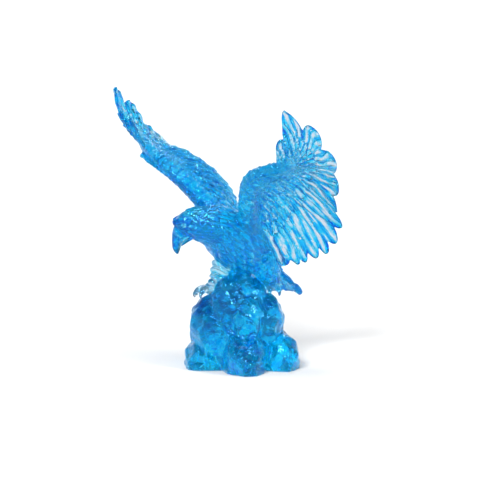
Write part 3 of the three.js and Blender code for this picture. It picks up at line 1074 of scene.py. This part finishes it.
class EAGLE_OT_wings(bpy.types.Operator):
    """Models the left wing as one feathered sheet on its bones, and mirrors it"""

    bl_idname = "eagle.wings"
    bl_label = "Wings"

    def execute(self, context):
        columns = COLUMNS_PER_FEATHER * len(FLIGHT_TIPS)
        template = tuft()
        paint(template, BONE_TINT)
        sheet, u, v = slab(columns, len(wing_rows()) - 1, wing_place)
        i, share, _, tint = wing_sheet(u, v)
        paint(sheet, tint, 1, flow_at(i, share))
        bones = limb(WING_BONES, wing_upper_side(), sides=40, steps=60)
        paint(bones, BONE_TINT, 1, bone_flow(bones))
        parts = [sheet, bones]
        for number, (root, tip, half_width) in enumerate(ALULA):
            parts.append(
                quill(
                    perch(root),
                    perch(tip),
                    wing_upper_side(),
                    half_width * eagle_unit(),
                    sizes().feather_thickness,
                    ALULA_BOW,
                    number,
                    BARE_TINT,
                )
            )
        left = join(parts + margin_tufts(template) + bone_tufts(template), WINGS)
        right = copied(left, Matrix.Diagonal((-1, 1, 1, 1)))
        # The mirrored right wing is painted deeper all over, as painted shade.
        values = painted(right)
        paint(right, values[:, 0] + RIGHT_WING_SHADE, values[:, 1], values[:, 2:])
        join([left, right], WINGS)
        bpy.data.objects.remove(template)
        return {"FINISHED"}


# The tail: a shallow fan of feathers, each at a place across it from -2 to 2. Its root and tip in the
# middle, how far apart the tips and the roots stand, each feather's half width and its thickness as a share
# of a bare feather's, its bow, and how much shorter and lower the tips are towards the sides.
TAIL_FEATHERS = 5
TAIL_ROOT = [-24, 0, 18]
TAIL_TIP = [-52, 0, -4.2]
TAIL_SPREAD = 5.4
TAIL_ROOT_SPREAD = 2.4
TAIL_HALF_WIDTH = 4.8
TAIL_THICKNESS = 1.2
TAIL_BOW = 0.03
TAIL_SHORTENING = 0.7
TAIL_DROOP = 0.25


class EAGLE_OT_tail(bpy.types.Operator):
    """Models the tail's fan of feathers"""

    bl_idname = "eagle.tail"
    bl_label = "Tail"

    def execute(self, context):
        half = (TAIL_FEATHERS - 1) / 2
        parts = []
        for k in np.arange(-half, half + 1):
            root = perch([TAIL_ROOT[0], k * TAIL_ROOT_SPREAD, TAIL_ROOT[2]])
            forward = TAIL_TIP[0] + TAIL_SHORTENING * k * k
            tip = perch([forward, k * TAIL_SPREAD, TAIL_TIP[2] - TAIL_DROOP * k * k])
            thickness = TAIL_THICKNESS * sizes().feather_thickness
            width = TAIL_HALF_WIDTH * eagle_unit()
            facing = heading(-0.5, 0.06 * k, 0.8)
            parts.append(quill(root, tip, facing, width, thickness, TAIL_BOW, k, TAIL_TINT))
        join(parts, TAIL)
        return {"FINISHED"}


# The legs: feathered thigh, bare shank and the foot's place, then the way that the foot points and how
# deeply the leg is tinted.
RIGHT_THIGH = [
    [1, -9, 27, 10, 10],
    [8.5, -10.4, 17.5, 9, 9.2],
    [14.5, -10.8, 9.6, 6, 6.2],
]
RIGHT_SHANK = [
    [12.5, -10.8, 12, 4.2, 4.2],
    [20, -10.4, 6.4, 3.8, 4],
    [24, -9, 2.6, 3.6, 3.6],
]
LEFT_THIGH = [
    [-8.6, 9.5, 24, 9.6, 9.6],
    [-14.4, 11.5, 14.6, 8.2, 8.2],
    [-18.2, 11.8, 8, 5.2, 5.2],
]
LEFT_SHANK = [
    [-17.6, 11.6, 9.5, 3.6, 3.6],
    [-19.4, 11, 4.8, 3, 3],
    [-20.4, 10.6, 1.6, 3.2, 3.2],
]
LEG_TABLE = [
    # The right leg is painted nearly clear, a painted highlight.
    (RIGHT_THIGH, RIGHT_SHANK, -30, LEG_HIGHLIGHT),
    (LEFT_THIGH, LEFT_SHANK, 35, TRUNK_TINT),
]

# The toes: the turn of each from the way that the foot points, in degrees, and its length.
TOE_SPREADS = [-42, -2, 38, 176]
TOE_LENGTHS = [7.6, 8.2, 7.8, 6.4]

# A toe with its talon: shares of its length out from the foot and up, and its radius there as a share of
# the toe's diameter, then the same for the talon.
TOE_PROFILE = [
    [0, 0.06, 0.56],
    [0.45, 0.34, 0.5],
    [0.95, 0.22, 0.52],
]
TALON_PROFILE = [
    [1.22, 0.02, 0.58],
    [1.36, -0.2, 0.44],
    [1.28, -0.48, 0.16],
]

# The bands round the shanks and thighs: how many there are, how far they rise as a share of the girth, and
# how much deeper the grooves between them are tinted, a painted shade.
SCUTES = 5
SCUTE_RISE = 0.15
THIGH_BANDS = 4
THIGH_BAND_RISE = 0.09
GROOVE_SHADE = 0.3


def paint_bands(piece, rows, bands, tint):
    """Tints a leg's form deeper in the grooves between its bands, a painted shade."""
    start, end = perch([rows[0][:3], rows[-1][:3]])
    share = (points_of(piece) - start) @ (end - start) / ((end - start) @ (end - start))
    paint(piece, tint + GROOVE_SHADE * (0.5 - 0.5 * np.cos(2 * math.pi * bands * share)) ** 3)


class EAGLE_OT_legs(bpy.types.Operator):
    """Models the thighs, the scaled shanks, the toes and their talons"""

    bl_idname = "eagle.legs"
    bl_label = "Legs"

    def execute(self, context):
        forwards = heading(1, 0, 0.2)
        parts = []
        for thigh, shank, foot_heading, tint in LEG_TABLE:
            for rows, bands, rise in ((thigh, THIGH_BANDS, THIGH_BAND_RISE), (shank, SCUTES, SCUTE_RISE)):
                parts.append(limb(rows, forwards, sides=48, steps=80, ripples=bands, ripple_depth=rise))
                paint_bands(parts[-1], rows, bands, tint)
            foot = np.array(shank[-1][:3], float)
            for spread, length in zip(TOE_SPREADS, TOE_LENGTHS):
                angle = math.radians(foot_heading + spread)
                stations = []
                girths = []
                for profile, diameter in (
                    (TOE_PROFILE, sizes().toe_diameter),
                    (TALON_PROFILE, sizes().talon_diameter),
                ):
                    for out, rise, radius in profile:
                        way = np.array([math.cos(angle) * out, math.sin(angle) * out, rise])
                        stations.append(perch(foot + way * length))
                        girths.append([radius * diameter, radius * diameter])
                parts.append(swell(stations, girths, heading(0, 0.05, 1), sides=20, steps=36))
                # The toes are painted nearly clear, a painted highlight.
                paint(parts[-1], LEG_HIGHLIGHT)
        join(parts, LEGS)
        return {"FINISHED"}


# The plumage: rows of the limb, the rings' shares along it, tufts in a ring, half length, half width and
# half height of a tuft in drawn millimetres, how far its tip is lifted, -1 where the tips point back along
# it, and how deeply it is tinted.
PLUMAGE_TABLE = [
    (TRUNK_ROWS, UPRIGHT, np.arange(0.14, 0.8, 0.06), 15, [5.8, 2.6, 1.8], 0.14, -1, TRUNK_TINT),
    (TRUNK_ROWS, UPRIGHT, np.arange(0.8, 1.0, 0.045), 14, [5.6, 2.2, 1.6], 0.12, -1, TRUNK_TINT),
    (LEFT_THIGH, heading(1, 0, 0.2), np.arange(0.1, 1, 0.2), 8, [5.8, 3.4, 1.5], 0.04, 1, TRUNK_TINT),
    (on_head(SKULL_ROWS), UPRIGHT, np.arange(0.04, 0.6, 0.12), 13, [5, 1.8, 1.1], 0.08, -1, HEAD_TINT),
]


class EAGLE_OT_plumage(bpy.types.Operator):
    """Lays short pointed feathers over the trunk, neck, nape and left thigh"""

    bl_idname = "eagle.plumage"
    bl_label = "Plumage"

    def execute(self, context):
        template = tuft()
        laid = []
        for seed, row in enumerate(PLUMAGE_TABLE):
            rows, facing, shares, per_ring, half_size, lift, towards, tint = row
            paint(template, tint)
            laid += lay_rings(template, rows, facing, shares, per_ring, half_size, lift, seed, towards)
        join(laid, PLUMAGE)
        bpy.data.objects.remove(template)
        return {"FINISHED"}


# Finish

# Creases are tinted deeper, a painted shade, and crests lighter, a painted highlight, less so on the
# wings. The bend is the surface's mean curvature, by the metre, evened out with the neighbours' this many
# times.
BEND_LIMIT = 500
BEND_SHADE_AND_HIGHLIGHT = 0.5
WING_BEND_LOSS = 0.5
BEND_SPREAD = 1


def mean_of_neighbours(values, ends):
    """Averages each vertex's value over the edges' other ends."""
    count = np.maximum(np.bincount(ends.ravel(), minlength=len(values)), 1)
    total = np.bincount(ends[:, 0], values[ends[:, 1]], len(values))
    total += np.bincount(ends[:, 1], values[ends[:, 0]], len(values))
    return total / count


def bend_of(casting):
    """How far each vertex lies in a crease, at 1, or on a crest, at -1."""
    mesh = casting.data
    points = points_of(casting)
    normals = np.empty(len(points) * 3)
    mesh.vertex_normals.foreach_get("vector", normals)
    ends = np.empty(len(mesh.edges) * 2, int)
    mesh.edges.foreach_get("vertices", ends)
    ends = ends.reshape(-1, 2)
    square = ((points[ends[:, 0]] - points[ends[:, 1]]) ** 2).sum(axis=1)
    count = np.maximum(np.bincount(ends.ravel(), minlength=len(points)), 1)
    total = np.bincount(ends[:, 0], square, len(points)) + np.bincount(ends[:, 1], square, len(points))
    square = total / count
    pull = np.stack([mean_of_neighbours(points[:, k], ends) for k in range(3)], axis=1) - points
    bend = 2 * (pull * normals.reshape(-1, 3)).sum(axis=1) / np.maximum(square, 1e-10)
    for _ in range(BEND_SPREAD):
        bend = 0.5 * bend + 0.5 * mean_of_neighbours(bend, ends)
    return np.clip(bend / BEND_LIMIT, -1, 1)


# The crown is paler, a painted highlight: its middle in the head's frame, and the distances from it at
# which its tint starts to rise and is full, in drawn millimetres.
CROWN_PLACE = [3, 3, 10]
CROWN_REACH = [4.5, 9]
CROWN_HIGHLIGHT = -1


def tint_casting(casting, points, values):
    """Gives each vertex the stored values of the nearest of the points that the casting was made from, then
    tints its creases deeper as painted shade, and its crests and crown paler as painted highlights.
    """
    tree = KDTree(len(points))
    for k, point in enumerate(points):
        tree.insert(point, k)
    tree.balance()
    near = np.array([tree.find(point)[1] for point in points_of(casting)])
    values = values[near]
    bend = bend_of(casting) * (1 - WING_BEND_LOSS * values[:, 1])
    # Painted shade in the creases, painted highlight on the crests.
    tint = values[:, 0] + BEND_SHADE_AND_HIGHLIGHT * bend
    # Painted highlight on the crown.
    crown = perch(on_head([CROWN_PLACE])[0, :3])
    away = np.linalg.norm(points_of(casting) - crown, axis=1) / eagle_unit()
    tint += CROWN_HIGHLIGHT * (1 - smooth(away, *CROWN_REACH))
    paint(casting, np.clip(tint, 0, 1), values[:, 1], values[:, 2:])


def node(tree, kind, place, **inputs):
    """A shader node with its values set. An underscore stands for a space in an input's name."""
    made = tree.nodes.new("ShaderNode" + kind)
    made.location = place
    for name, value in inputs.items():
        made.inputs[name.replace("_", " ")].default_value = value
    return made


def link(tree, source, output, target, entry):
    """Joins one node's output to another node's input."""
    tree.links.new(source.outputs[output], target.inputs[entry])


# How the streaks of the trunk and rock are turned and how fine they are, between which values of their
# noise the tint swings, and how far.
STREAK_TURN = (math.radians(30), 0, 0)
STREAK_SCALE = (300, 130, 300)
STREAK_NOISE = (0.39, 0.61)
STREAK_TINT = 0.27

# The ripples' fineness within the streaks' frame, and the pale specks on their peaks, which are painted
# glints: between which values of the ripples' noise a speck fades in, and its tint.
RIPPLE_SCALE = 1.9
PAINTED_GLINT_NOISE = (0.61, 0.66)
PAINTED_GLINT_TINT = -0.9

# The tints at which the glass is cyan and azure.
CYAN_STOP = 0.37
AZURE_STOP = 0.7

# How rough the glass is at most, how fine its hazy patches are, and how far the streaks and ripples bend
# the light: strength and height.
MOST_ROUGHNESS = 0.06
HAZE_SCALE = 160.0
STREAK_BUMP = (0.6, 0.0008)
RIPPLE_BUMP = (0.5, 0.0004)


def streak_noise(tree, turned, stored):
    """Streaks that run back along the trunk, and along the feathers on the wings."""
    mottles = node(tree, "TexNoise", (-900, 50), Scale=1.0, Detail=3.0, Roughness=0.6, Distortion=0.8)
    streaks = node(tree, "TexNoise", (-900, 300), Scale=1.0, Detail=2.0, Roughness=0.55, Distortion=0.5)
    grain = node(tree, "Mix", (-700, 200))
    link(tree, turned, "Vector", mottles, "Vector")
    link(tree, stored[FLOW], "Vector", streaks, "Vector")
    link(tree, stored[WING], "Fac", grain, "Factor")
    link(tree, mottles, "Fac", grain, "A")
    link(tree, streaks, "Fac", grain, "B")
    return grain


def moved_tint(tree, place, tint, output, noise, noise_output, span, tints):
    """Adds to a tint one of the tints between two, as far as the noise has come from one end of its span."""
    low, high = span
    least, most = tints
    swing = node(tree, "MapRange", place, From_Min=low, From_Max=high, To_Min=least, To_Max=most)
    total = node(tree, "Math", (place[0] + 200, place[1]))
    total.operation = "ADD"
    total.use_clamp = True
    link(tree, noise, noise_output, swing, "Value")
    link(tree, tint, output, total, 0)
    link(tree, swing, "Result", total, 1)
    return total


def tint_ramp(tree, tint):
    """The glass's colour for each tint, from clear to deep blue."""
    finish = bpy.context.scene.eagle_glass
    ramp = node(tree, "ValToRGB", (-100, 300))
    stops = ramp.color_ramp.elements
    stops[0].color = (*finish.clear, 1)
    stops[1].color = (*finish.deep_blue, 1)
    stops.new(CYAN_STOP).color = (*finish.cyan, 1)
    stops.new(AZURE_STOP).color = (*finish.azure, 1)
    link(tree, tint, "Value", ramp, "Fac")
    return ramp


def bumps(tree, ripples, grain):
    """The way that the surface seems to face, from the ripples and then the streaks."""
    strength, height = RIPPLE_BUMP
    fine = node(tree, "Bump", (100, -350), Strength=strength, Distance=height)
    strength, height = STREAK_BUMP
    broad = node(tree, "Bump", (300, -250), Strength=strength, Distance=height)
    link(tree, ripples, "Fac", fine, "Height")
    link(tree, fine, "Normal", broad, "Normal")
    link(tree, grain, "Result", broad, "Height")
    return broad


def blue_glass():
    """Clear blue cast glass: streaky, deeper where it is thick, with painted shade in its creases and painted
    glints as pale specks, and faintly rippled.
    """
    finish = bpy.context.scene.eagle_glass
    material = bpy.data.materials.new("blue_glass")
    material.use_nodes = True
    tree = material.node_tree
    tree.nodes.clear()
    output = node(tree, "OutputMaterial", (900, 0))
    glass = node(tree, "BsdfPrincipled", (600, 100))
    glass.inputs["Transmission Weight"].default_value = 1.0
    glass.inputs["IOR"].default_value = finish.ior
    glass.inputs["Specular Tint"].default_value = (*finish.reflection, 1)
    colour_of_depth = (*finish.depth_colour, 1)
    depth = node(tree, "VolumeAbsorption", (600, -300), Color=colour_of_depth, Density=finish.depth_density)
    coordinates = node(tree, "TexCoord", (-1300, 0))
    stored = {}
    for k, name in enumerate((TINT, WING, FLOW)):
        stored[name] = node(tree, "Attribute", (-1100, 600 - 180 * k))
        stored[name].attribute_name = name
    turned = node(tree, "Mapping", (-1100, 50), Rotation=STREAK_TURN, Scale=STREAK_SCALE)
    ripples = node(tree, "TexNoise", (-900, -400), Scale=RIPPLE_SCALE, Detail=2.0, Roughness=0.6)
    link(tree, coordinates, "Object", turned, "Vector")
    link(tree, turned, "Vector", ripples, "Vector")

    grain = streak_noise(tree, turned, stored)
    swings = (-STREAK_TINT, STREAK_TINT)
    tint = moved_tint(tree, (-500, 200), stored[TINT], "Fac", grain, "Result", STREAK_NOISE, swings)
    # Pale specks, painted glints.
    tint = moved_tint(tree, (-400, 450), tint, "Value", ripples, "Fac", PAINTED_GLINT_NOISE, (0.0, PAINTED_GLINT_TINT))
    link(tree, tint_ramp(tree, tint), "Color", glass, "Base Color")

    haze = node(tree, "TexNoise", (-700, -50), Scale=HAZE_SCALE, Detail=2.0)
    gloss = node(tree, "MapRange", (-400, -50), To_Min=0.0, To_Max=MOST_ROUGHNESS)
    link(tree, coordinates, "Object", haze, "Vector")
    link(tree, haze, "Fac", gloss, "Value")
    link(tree, gloss, "Result", glass, "Roughness")

    link(tree, bumps(tree, ripples, grain), "Normal", glass, "Normal")
    link(tree, glass, "BSDF", output, "Surface")
    link(tree, depth, "Volume", output, "Volume")
    return material


class EAGLE_OT_cast(bpy.types.Operator):
    """Melts every group into one closed casting and gives it its glass"""

    bl_idname = "eagle.cast"
    bl_label = "Cast"

    def execute(self, context):
        groups = [bpy.data.objects.get(name) for name in (ROCK, TRUNK, HEAD, WINGS, TAIL, LEGS, PLUMAGE)]
        if None in groups:
            raise RuntimeError("make the rock, trunk, head, wings, tail, legs and plumage before the casting")
        casting = join(groups, CASTING)
        points, values = points_of(casting), painted(casting)
        apply_modifier(casting, "REMESH", mode="VOXEL", voxel_size=sizes().grain)
        apply_modifier(casting, "SMOOTH", factor=0.5, iterations=1)
        triangles = sum(len(face.vertices) - 2 for face in casting.data.polygons)
        if triangles > sizes().triangles:
            apply_modifier(casting, "DECIMATE", ratio=sizes().triangles / triangles)
        casting = largest_piece(casting)
        make_active(casting)
        bpy.ops.object.shade_smooth()
        tint_casting(casting, points, values)
        casting.data.materials.clear()
        casting.data.materials.append(blue_glass())
        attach(casting, BODY)
        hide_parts(CAST_NODE)
        return {"FINISHED"}


# Studio

# The middle of the view, in metres to the right and up of the origin, as the camera sees it.
VIEW_MIDDLE = (0.0057, 0.085)
SENSOR_WIDTH = 36
FLOOR_SIZE = 40

# Suns: to the camera's right, towards it and up, then strength and angle in degrees.
SUNS = [
    ("overhead_light", (-0.1, 0.1, 1), 1.6, 30),
    ("key_light", (-0.3, 1, 0.65), 4.6, 16),
    ("side_light", (0.8, 0.6, 0.7), 1.8, 12),
    ("rim_light", (0.2, -0.7, 0.75), 0.5, 9),
]

# How strong the surround is from its horizon up, fading between these heights of a unit sphere to its
# zenith.
HORIZON = 1.15
ZENITH = 0.22
SKY_FADE = (0.14, 0.42)

# The floor's paper: its roughness, its gloss, and the two greys and the fineness of its faint grain.
PAPER_ROUGHNESS = 0.7
PAPER_GLOSS = 0.2
PAPER_GREYS = (0.62, 0.65)
PAPER_GRAIN = 3.0

LIGHT_BOUNCES = 24


def camera_axes():
    """The camera's right, its up, and the way back to it."""
    studio = bpy.context.scene.eagle_studio
    a, e = studio.azimuth, studio.elevation
    back = Vector((math.sin(a) * math.cos(e), -math.cos(a) * math.cos(e), math.sin(e)))
    right = Vector((math.cos(a), math.sin(a), 0))
    return right, back.cross(right), back


def add_camera(right, up, back):
    scene = bpy.context.scene
    studio = scene.eagle_studio
    data = bpy.data.cameras.new("camera")
    data.sensor_width = SENSOR_WIDTH
    data.lens = SENSOR_WIDTH * studio.distance / studio.field
    data.clip_end = 2 * FLOOR_SIZE
    camera = bpy.data.objects.new("camera", data)
    camera.location = right * VIEW_MIDDLE[0] + up * VIEW_MIDDLE[1] + back * studio.distance
    camera.rotation_euler = back.to_track_quat("Z", "Y").to_euler()
    scene.collection.objects.link(camera)
    scene.camera = camera


def add_sun(name, towards, strength, spread):
    """A sun that shines from a direction. Its spread is in degrees."""
    light = bpy.data.lights.new(name, "SUN")
    light.energy = strength
    light.angle = math.radians(spread)
    lamp = bpy.data.objects.new(name, light)
    lamp.rotation_euler = towards.to_track_quat("Z", "Y").to_euler()
    bpy.context.scene.collection.objects.link(lamp)


def pale_paper():
    """Pale matt paper with a faint grain."""
    paper = bpy.data.materials.new("pale_floor")
    paper.use_nodes = True
    tree = paper.node_tree
    surface = tree.nodes["Principled BSDF"]
    surface.inputs["Roughness"].default_value = PAPER_ROUGHNESS
    surface.inputs["Specular IOR Level"].default_value = PAPER_GLOSS
    coordinates = node(tree, "TexCoord", (-800, 0))
    grain = node(tree, "TexNoise", (-600, 0), Scale=PAPER_GRAIN)
    shade = node(tree, "Mix", (-300, 0))
    shade.data_type = "RGBA"
    for name, grey in zip("AB", PAPER_GREYS):
        shade.inputs[name].default_value = (grey, grey, grey, 1)
    link(tree, coordinates, "Object", grain, "Vector")
    link(tree, grain, "Fac", shade, "Factor")
    link(tree, shade, "Result", surface, "Base Color")
    return paper


def white_surround():
    """A white surround, bright at the horizon and dim overhead."""
    world = bpy.data.worlds.new("studio")
    world.use_nodes = True
    tree = world.node_tree
    background = tree.nodes["Background"]
    background.inputs["Color"].default_value = (1, 1, 1, 1)
    coordinates = node(tree, "TexCoord", (-800, 0))
    parts = node(tree, "SeparateXYZ", (-600, 0))
    low, high = SKY_FADE
    fade = node(tree, "MapRange", (-300, 0), From_Min=low, From_Max=high, To_Min=HORIZON, To_Max=ZENITH)
    fade.interpolation_type = "SMOOTHSTEP"
    link(tree, coordinates, "Generated", parts, "Vector")
    link(tree, parts, "Z", fade, "Value")
    link(tree, fade, "Result", background, "Strength")
    return world


class EAGLE_OT_stage(bpy.types.Operator):
    """Sets up the pale floor, the soft lights and the camera"""

    bl_idname = "eagle.stage"
    bl_label = "Stage"

    def execute(self, context):
        scene = context.scene
        right, up, back = camera_axes()
        add_camera(right, up, back)

        deselect_all()
        bpy.ops.mesh.primitive_plane_add(size=FLOOR_SIZE)
        floor = context.active_object
        floor.name = "floor"
        floor.data.materials.append(pale_paper())

        level_back = Vector((back.x, back.y, 0)).normalized()
        for name, (aside, near, high), strength, spread in SUNS:
            add_sun(name, right * aside + level_back * near + Vector((0, 0, high)), strength, spread)

        scene.world = white_surround()
        scene.view_settings.view_transform = "Standard"
        for kind in ("max_bounces", "glossy_bounces", "transmission_bounces"):
            setattr(scene.cycles, kind, LIGHT_BOUNCES)
        return {"FINISHED"}


STEPS = (
    "eagle.rock",
    "eagle.trunk",
    "eagle.head",
    "eagle.wings",
    "eagle.tail",
    "eagle.legs",
    "eagle.plumage",
    "eagle.cast",
    "eagle.stage",
)


class EAGLE_PT_sidebar(bpy.types.Panel):
    """Lists the steps and the sizes"""

    bl_idname = "EAGLE_PT_sidebar"
    bl_label = "Glass Eagle"
    bl_space_type = "VIEW_3D"
    bl_region_type = "UI"
    bl_category = "Eagle"

    def draw(self, context):
        scene = context.scene
        for group in (scene.eagle_sizes, scene.eagle_glass, scene.eagle_studio):
            for name in group.__annotations__:
                self.layout.prop(group, name)
        for step in STEPS:
            self.layout.operator(step)


CLASSES = (
    EagleSizes,
    GlassFinish,
    StudioSettings,
    EAGLE_OT_rock,
    EAGLE_OT_trunk,
    EAGLE_OT_head,
    EAGLE_OT_wings,
    EAGLE_OT_tail,
    EAGLE_OT_legs,
    EAGLE_OT_plumage,
    EAGLE_OT_cast,
    EAGLE_OT_stage,
    EAGLE_PT_sidebar,
)


def register():
    for kind in CLASSES:
        bpy.utils.register_class(kind)
    bpy.types.Scene.eagle_sizes = bpy.props.PointerProperty(type=EagleSizes)
    bpy.types.Scene.eagle_glass = bpy.props.PointerProperty(type=GlassFinish)
    bpy.types.Scene.eagle_studio = bpy.props.PointerProperty(type=StudioSettings)


def unregister():
    del bpy.types.Scene.eagle_studio
    del bpy.types.Scene.eagle_glass
    del bpy.types.Scene.eagle_sizes
    for kind in reversed(CLASSES):
        bpy.utils.unregister_class(kind)


def main():
    register()
    deselect_all()
    bpy.ops.eagle.rock()
    bpy.ops.eagle.trunk()
    bpy.ops.eagle.head()
    bpy.ops.eagle.wings()
    bpy.ops.eagle.tail()
    bpy.ops.eagle.legs()
    bpy.ops.eagle.plumage()
    bpy.ops.eagle.cast()
    bpy.ops.eagle.stage()


if __name__ == "__main__":
    main()
